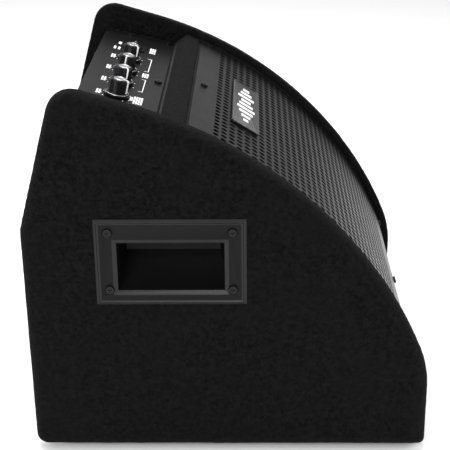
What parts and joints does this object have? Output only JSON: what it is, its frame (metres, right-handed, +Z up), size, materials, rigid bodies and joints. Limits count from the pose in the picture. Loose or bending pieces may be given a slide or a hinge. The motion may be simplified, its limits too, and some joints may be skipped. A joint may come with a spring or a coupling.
{
  "type": "stage monitor wedge",
  "caption": "Carpeted wedge-shaped powered floor monitor loudspeaker with curved perforated grille, recessed side grips and a knob panel sunk between the side panels.",
  "frame": {"origin": "centre of the underside, at the floor level of the feet", "axes": "+X towards the grille, +Y across to the right-hand side panel seen from behind, +Z up"},
  "size_m": [0.402, 0.4064, 0.3844],
  "materials": {
    "plywood": "matte",
    "painted_plywood": "matte",
    "carpet": "matte",
    "black_plastic": "satin",
    "knob_plastic": "satin",
    "black_steel": "satin",
    "badge_plastic": "gloss",
    "zinc": "satin",
    "ferrite": "matte",
    "copper": "satin",
    "paper": "matte",
    "treated_cloth": "matte",
    "felt_board": "matte",
    "black_screw": "satin",
    "circuit": "satin",
    "brass": "satin",
    "rubber": "matte",
    "lamp": "gloss",
    "aluminium": "satin",
    "wire": "matte"
  },
  "bodies": {
    "cabinet": {"badge_plate": "badge_plastic", "baffle_board": "painted_plywood", "board_standoffs": "brass", "bottom_board": "plywood", "circuit_board": "circuit", "control_panel": "black_steel", "corner_cleats": "painted_plywood", "fuse_holder": "black_plastic", "grille": "black_steel", "grille_felt": "carpet", "heat_sink": "aluminium", "input_jacks": "black_plastic", "left_handle": "black_plastic", "left_side_board": "painted_plywood", "left_side_carpet": "carpet", "lower_back_board": "plywood", "lower_front_board": "painted_plywood", "mains_inlet": "black_plastic", "panel_nuts": "zinc", "plate_screws": "black_screw", "potentiometers": "zinc", "power_board": "circuit", "power_lamp": "lamp", "rail_board": "painted_plywood", "rail_carpet": "carpet", "right_handle": "black_plastic", "right_side_board": "painted_plywood", "right_side_carpet": "carpet", "rubber_feet": "rubber", "service_panel": "aluminium", "switch_housing": "black_plastic", "switch_pin": "brass", "transformer": "copper", "transformer_clamp": "zinc", "tweeter_driver": "ferrite", "tweeter_horn": "black_plastic", "tweeter_lead": "wire", "upper_back_board": "painted_plywood", "wood_screws": "black_screw", "woofer_basket": "black_steel", "woofer_bolts": "black_screw", "woofer_gasket": "felt_board", "woofer_lead": "wire", "woofer_magnet": "ferrite", "woofer_pole_plates": "zinc", "woofer_spider": "treated_cloth", "woofer_surround": "rubber", "wrap_carpet": "carpet"},
    "volume": {"volume_knob": "knob_plastic", "volume_shaft": "brass"},
    "bass": {"bass_knob": "knob_plastic", "bass_shaft": "brass"},
    "middle": {"middle_knob": "knob_plastic", "middle_shaft": "brass"},
    "treble": {"treble_knob": "knob_plastic", "treble_shaft": "brass"},
    "rocker": {"power_rocker": "black_plastic"},
    "cone": {"woofer_cone": "paper", "voice_coil": "copper", "dust_cap": "paper"}
  },
  "joints": [
    {"name": "volume_turn", "type": "hinge", "parent": "cabinet", "child": "volume", "pos_m": [-0.11405, -0.078, 0.34657], "axis": [0.2419, 0, 0.9703], "range_deg": [-150, 150]},
    {"name": "bass_turn", "type": "hinge", "parent": "cabinet", "child": "bass", "pos_m": [-0.11405, -0.031, 0.34657], "axis": [0.2419, 0, 0.9703], "range_deg": [-150, 150]},
    {"name": "middle_turn", "type": "hinge", "parent": "cabinet", "child": "middle", "pos_m": [-0.11405, 0.016, 0.34657], "axis": [0.2419, 0, 0.9703], "range_deg": [-150, 150]},
    {"name": "treble_turn", "type": "hinge", "parent": "cabinet", "child": "treble", "pos_m": [-0.11405, 0.063, 0.34657], "axis": [0.2419, 0, 0.9703], "range_deg": [-150, 150]},
    {"name": "rocker_tilt", "type": "hinge", "parent": "cabinet", "child": "rocker", "pos_m": [-0.11478, 0.114, 0.34365], "axis": [0, 1, 0], "range_deg": [-12, 0]},
    {"name": "cone_stroke", "type": "slide", "parent": "cabinet", "child": "cone", "axis": [0.7373, 0, 0.6756], "range_m": [-0.004, 0.004], "stiffness_N_per_m": 900, "deforming": ["woofer_surround", "woofer_spider"]}
  ]
}
